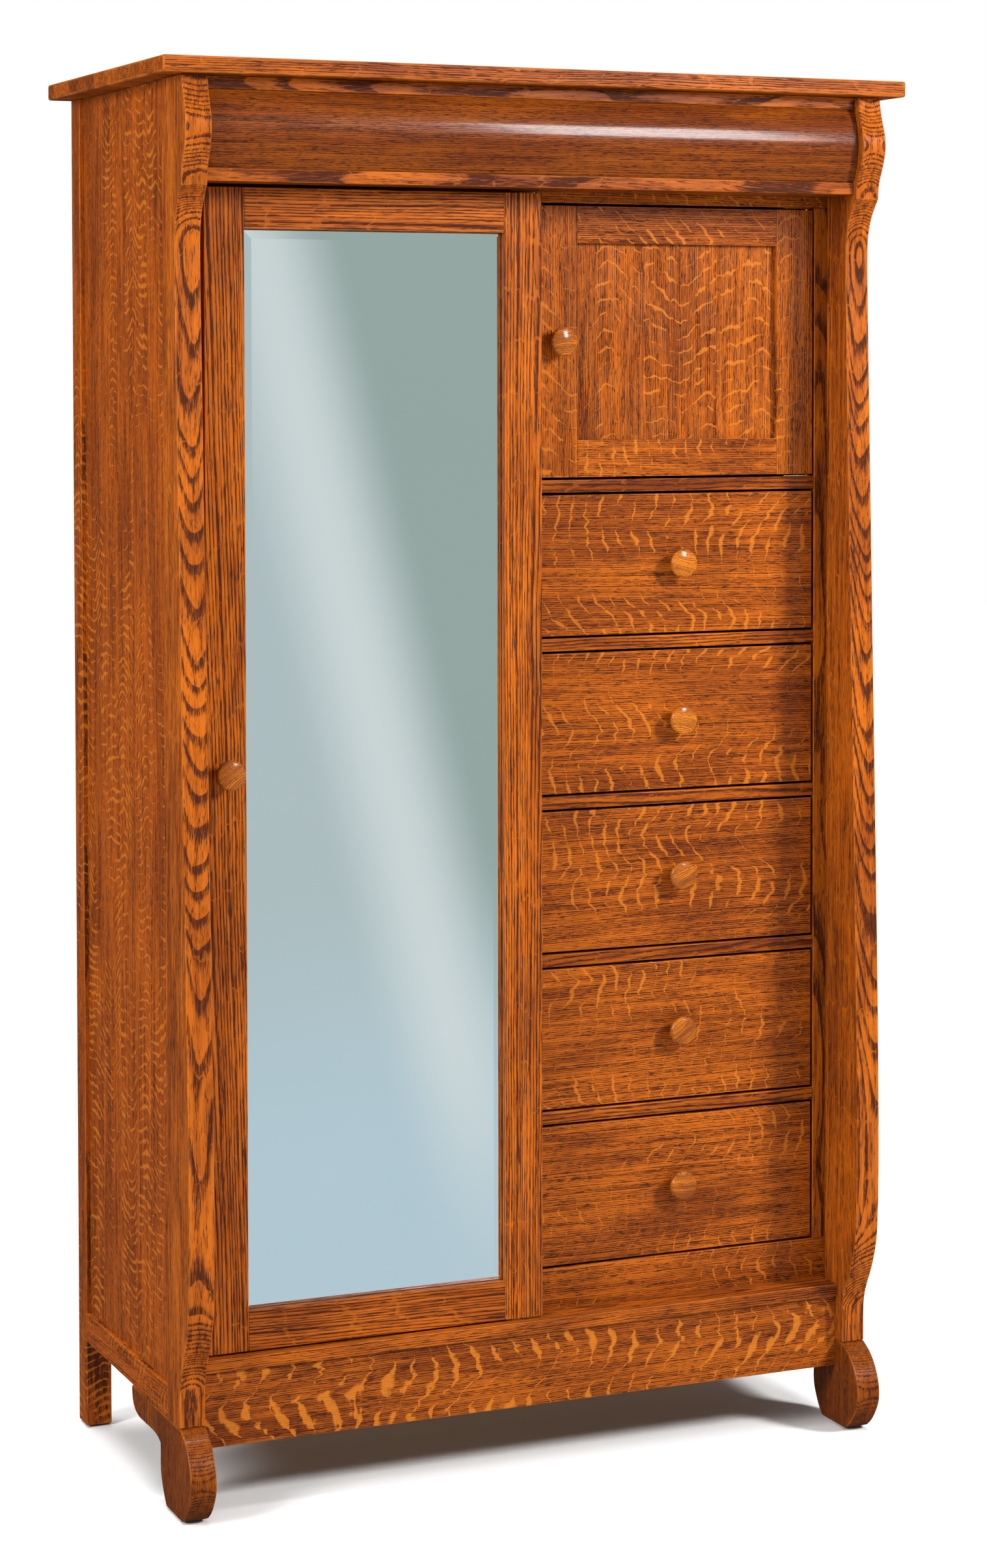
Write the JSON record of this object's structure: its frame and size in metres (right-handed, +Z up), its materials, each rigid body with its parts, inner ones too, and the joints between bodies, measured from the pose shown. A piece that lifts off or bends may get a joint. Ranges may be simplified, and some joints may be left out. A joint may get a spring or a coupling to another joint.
{
  "type": "armoire",
  "caption": "Tall oak armoire: full-height mirror door at left, small panelled door over a stack of drawers at right, scroll-cut front posts and feet, bulging crown under a flat top.",
  "frame": {"origin": "on the floor under the middle of the top slab", "axes": "+X to the right seen from the front, +Y to the back, +Z up; the doors and drawers face -Y"},
  "size_m": [1.072, 0.555, 1.905],
  "materials": {
    "oak": "amber-stained quarter-sawn oak, satin varnish",
    "oak_dark": "brown-stained oak, satin varnish",
    "oak_inside": "clear-finished light oak",
    "oak_knob": "turned oak, satin varnish",
    "mirror": "bevelled silvered glass",
    "brass": "plated steel, satin"
  },
  "bodies": {
    "case": {"apron": "oak", "back_panel": "oak_dark", "bottom_panel": "oak_inside", "compartment_shelf": "oak", "crown_bottom_strip": "oak", "crown_moulding": "oak_dark", "crown_top_strip": "oak", "drawer_rail_1": "oak", "drawer_rail_2": "oak", "drawer_rail_3": "oak", "drawer_rail_4": "oak", "frame_bottom_rail": "oak", "frame_left_stile": "oak", "frame_right_stile": "oak", "frame_top_rail": "oak", "hanging_rod": "oak_inside", "left_back_leg": "oak", "left_front_foot": "oak", "left_post": "oak", "left_side_panel": "oak_dark", "left_side_rail": "oak", "mirror_door_bottom_pivot": "brass", "mirror_door_top_pivot": "brass", "partition": "oak", "right_back_leg": "oak", "right_front_foot": "oak", "right_post": "oak", "right_side_panel": "oak_dark", "right_side_rail": "oak", "sill_cap": "oak", "small_door_bottom_pivot": "brass", "small_door_top_pivot": "brass", "top_slab": "oak"},
    "mirror_door": {"mirror_door_bottom_rail": "oak", "mirror_door_knob": "oak_knob", "mirror_door_left_stile": "oak", "mirror_door_right_stile": "oak", "mirror_door_top_rail": "oak", "mirror_glass": "mirror"},
    "small_door": {"small_door_bottom_rail": "oak", "small_door_knob": "oak_knob", "small_door_left_stile": "oak", "small_door_panel": "oak", "small_door_right_stile": "oak", "small_door_top_rail": "oak"},
    "drawer_1": {"drawer_1_box": "oak_inside", "drawer_1_front": "oak", "drawer_1_knob": "oak_knob"},
    "drawer_2": {"drawer_2_box": "oak_inside", "drawer_2_front": "oak", "drawer_2_knob": "oak_knob"},
    "drawer_3": {"drawer_3_box": "oak_inside", "drawer_3_front": "oak", "drawer_3_knob": "oak_knob"},
    "drawer_4": {"drawer_4_box": "oak_inside", "drawer_4_front": "oak", "drawer_4_knob": "oak_knob"},
    "drawer_5": {"drawer_5_box": "oak_inside", "drawer_5_front": "oak", "drawer_5_knob": "oak_knob"}
  },
  "joints": [
    {"name": "mirror_door_hinge", "type": "hinge", "parent": "case", "child": "mirror_door", "pos_m": [0.0152, -0.1825, 0.2065], "axis": [0, 0, 1], "range_deg": [0, 90]},
    {"name": "small_door_hinge", "type": "hinge", "parent": "case", "child": "small_door", "pos_m": [0.4474, -0.1495, 1.3564], "axis": [0, 0, 1], "range_deg": [0, 95]},
    {"name": "drawer_1_slide", "type": "slide", "parent": "case", "child": "drawer_1", "axis": [0, -1, 0], "range_m": [0, 0.3]},
    {"name": "drawer_2_slide", "type": "slide", "parent": "case", "child": "drawer_2", "axis": [0, -1, 0], "range_m": [0, 0.3]},
    {"name": "drawer_3_slide", "type": "slide", "parent": "case", "child": "drawer_3", "axis": [0, -1, 0], "range_m": [0, 0.3]},
    {"name": "drawer_4_slide", "type": "slide", "parent": "case", "child": "drawer_4", "axis": [0, -1, 0], "range_m": [0, 0.3]},
    {"name": "drawer_5_slide", "type": "slide", "parent": "case", "child": "drawer_5", "axis": [0, -1, 0], "range_m": [0, 0.3]}
  ]
}
